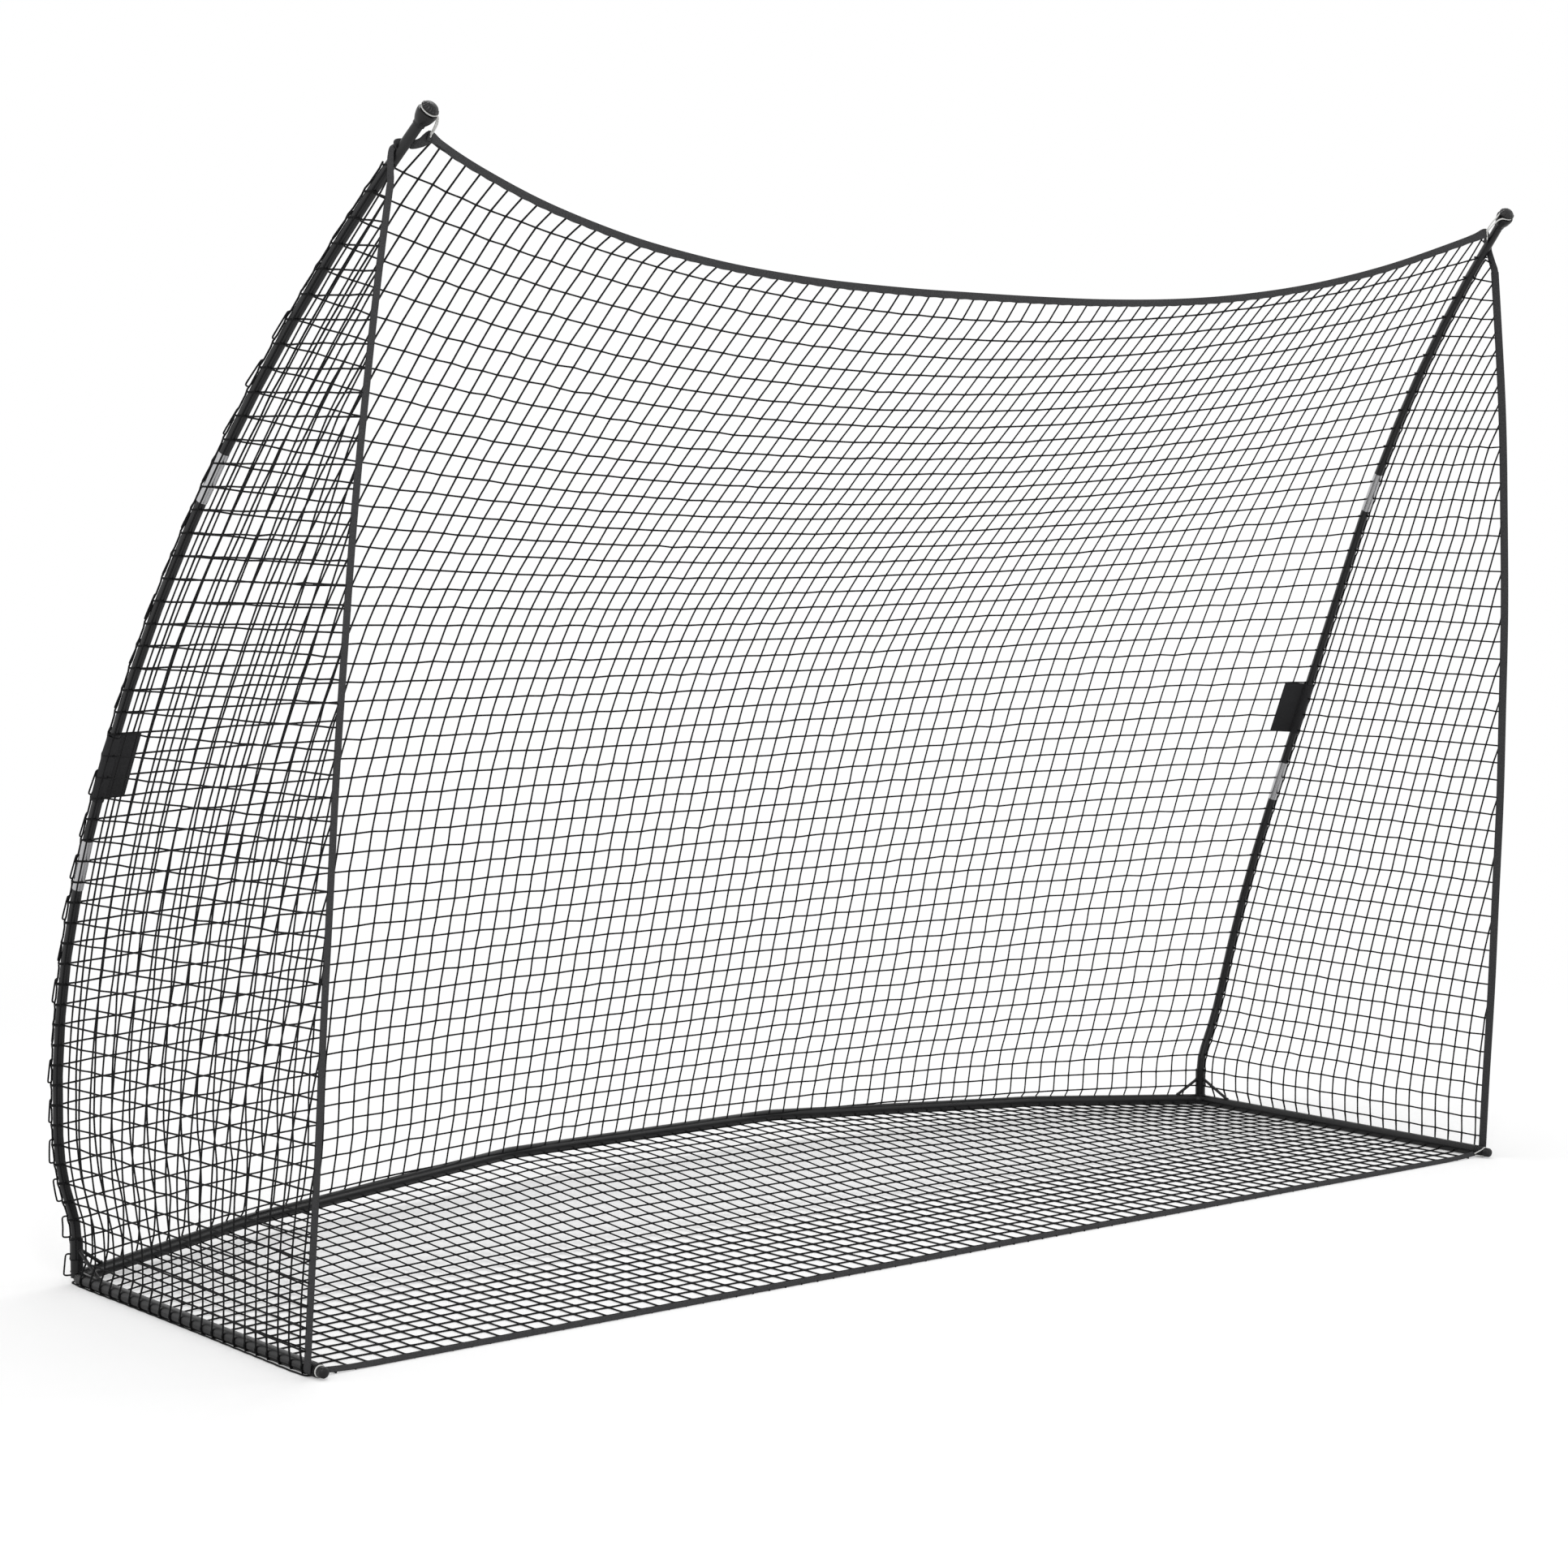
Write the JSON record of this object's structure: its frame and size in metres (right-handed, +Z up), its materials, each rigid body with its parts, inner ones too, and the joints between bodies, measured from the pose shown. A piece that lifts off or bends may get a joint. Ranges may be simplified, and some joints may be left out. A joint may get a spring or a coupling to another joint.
{
  "type": "pitch back rebounder",
  "caption": "Portable three-sided practice net: bowed poles standing in a bent floor frame of tube hold a back net, side nets and a floor net, with an open front.",
  "frame": {"origin": "middle of the floor footprint, under the centre of the bounding box, on the floor", "axes": "+Z up, +X to the right across the net seen from its open front, +Y to the back net; the open front faces -Y"},
  "size_m": [3.2346, 1.3424, 2.1289],
  "materials": {
    "frame_tube": "satin black powder coat",
    "pole": "smooth black fibreglass rod",
    "sleeve": "satin drawn tube",
    "cap": "moulded black plastic",
    "elastic": "braided white elastic",
    "binding": "black woven tape",
    "net": "black twisted cord",
    "tab": "black woven fabric"
  },
  "bodies": {
    "frame": {"back_net": "net", "front_binding": "binding", "ground_net": "net", "left_binding": "binding", "left_corner": "frame_tube", "left_inner_back_tube": "frame_tube", "left_lower_rod": "pole", "left_lower_sleeve": "sleeve", "left_middle_rod": "pole", "left_outer_back_tube": "frame_tube", "left_pole_cap": "cap", "left_pole_tab": "tab", "left_side_net": "net", "left_top_loop": "elastic", "left_upper_rod": "pole", "left_upper_sleeve": "sleeve", "right_binding": "binding", "right_corner": "frame_tube", "right_inner_back_tube": "frame_tube", "right_lower_rod": "pole", "right_lower_sleeve": "sleeve", "right_middle_rod": "pole", "right_outer_back_tube": "frame_tube", "right_pole_cap": "cap", "right_pole_tab": "tab", "right_side_net": "net", "right_top_loop": "elastic", "right_upper_rod": "pole", "right_upper_sleeve": "sleeve", "top_binding": "binding"},
    "left_side": {"left_side_tube": "frame_tube", "left_base_cap": "cap", "left_front_loop": "elastic"},
    "left_flap": {"left_pole_flap": "tab"},
    "right_side": {"right_side_tube": "frame_tube", "right_base_cap": "cap", "right_front_loop": "elastic"},
    "right_flap": {"right_pole_flap": "tab"}
  },
  "joints": [
    {"name": "left_side_pull", "type": "slide", "parent": "frame", "child": "left_side", "axis": [0, -1, 0], "range_m": [0, 0.05]},
    {"name": "left_flap_peel", "type": "hinge", "parent": "frame", "child": "left_flap", "pos_m": [-1.57428, 0.11577, 0.99438], "axis": [-0.0635, 0.4199, -0.9053], "range_deg": [0, 85]},
    {"name": "right_side_pull", "type": "slide", "parent": "frame", "child": "right_side", "axis": [0, -1, 0], "range_m": [0, 0.05]},
    {"name": "right_flap_peel", "type": "hinge", "parent": "frame", "child": "right_flap", "pos_m": [1.57428, 0.11577, 0.99438], "axis": [-0.0635, -0.4199, 0.9053], "range_deg": [0, 85]}
  ]
}
